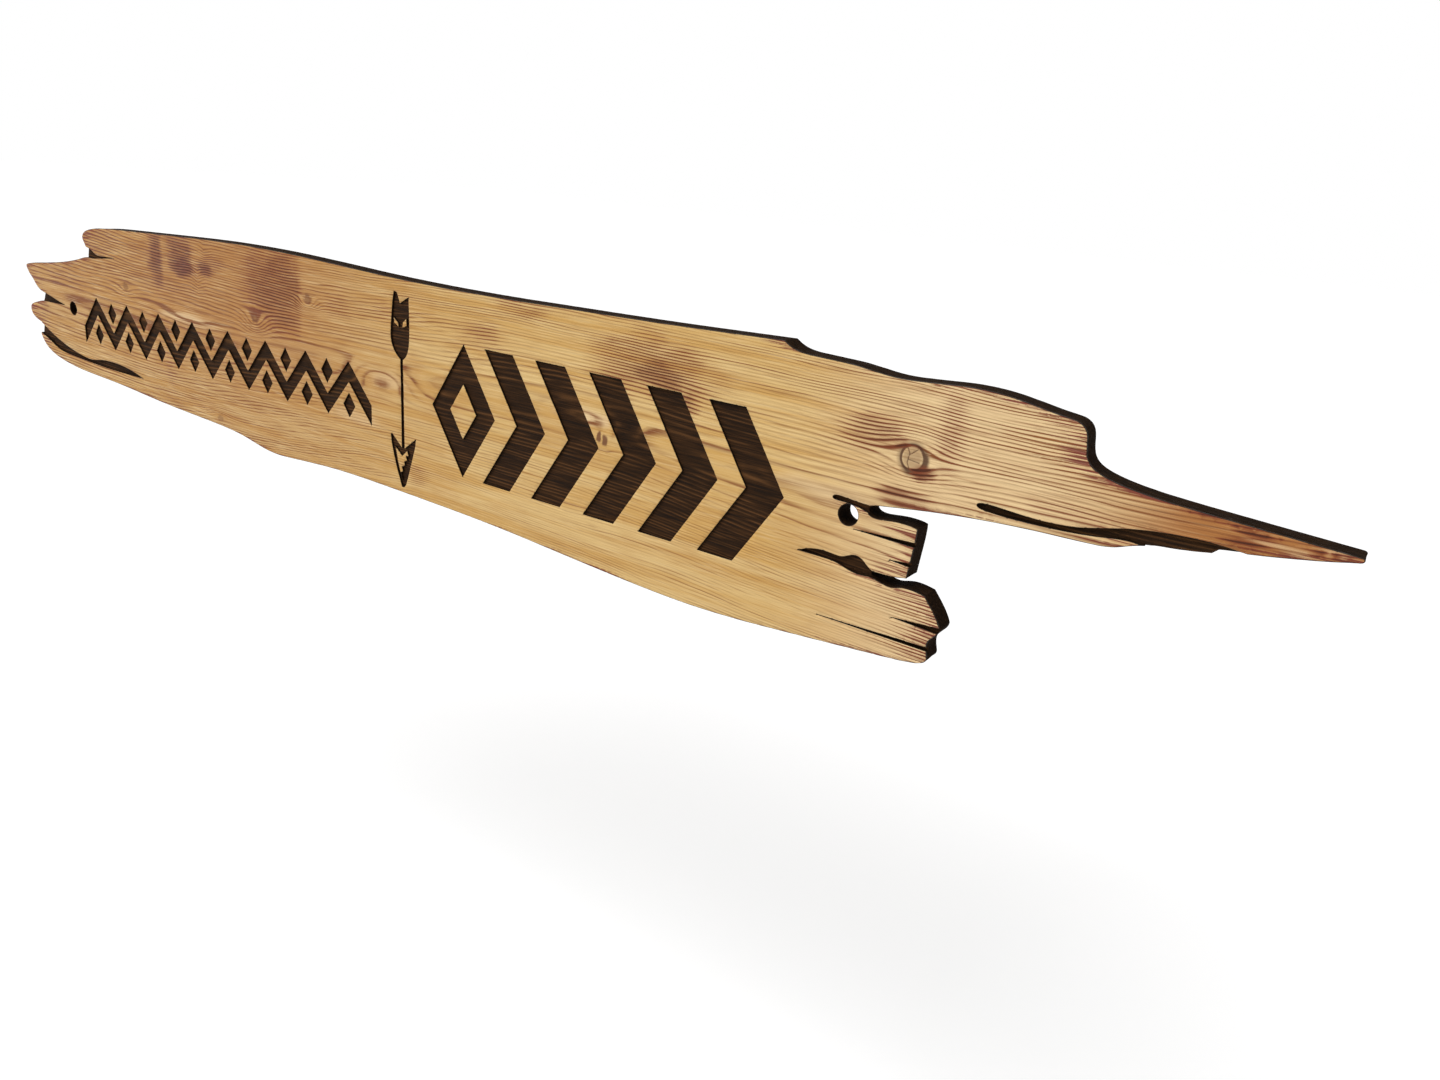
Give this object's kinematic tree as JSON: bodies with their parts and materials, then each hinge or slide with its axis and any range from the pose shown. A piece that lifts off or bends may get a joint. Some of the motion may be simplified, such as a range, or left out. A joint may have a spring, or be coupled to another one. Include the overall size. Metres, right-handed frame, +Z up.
{
  "type": "engraved wooden sign",
  "caption": "Long rustic direction sign cut from one softwood plank with a ragged, split outline, a side spike, burnt engraving and screw holes at both ends.",
  "frame": {"origin": "on the back face, midway between the two screw holes", "axes": "+X along the plank towards its spike, +Y out of the back into the wall, +Z up; the engraved front faces -Y"},
  "size_m": [1.352, 0.018, 0.2026],
  "materials": {
    "burnt_pine": "torched and brushed pine under satin varnish, with charred edges and burnt engraving"
  },
  "bodies": {
    "root": {"sign_board": "burnt_pine"}
  },
  "joints": []
}
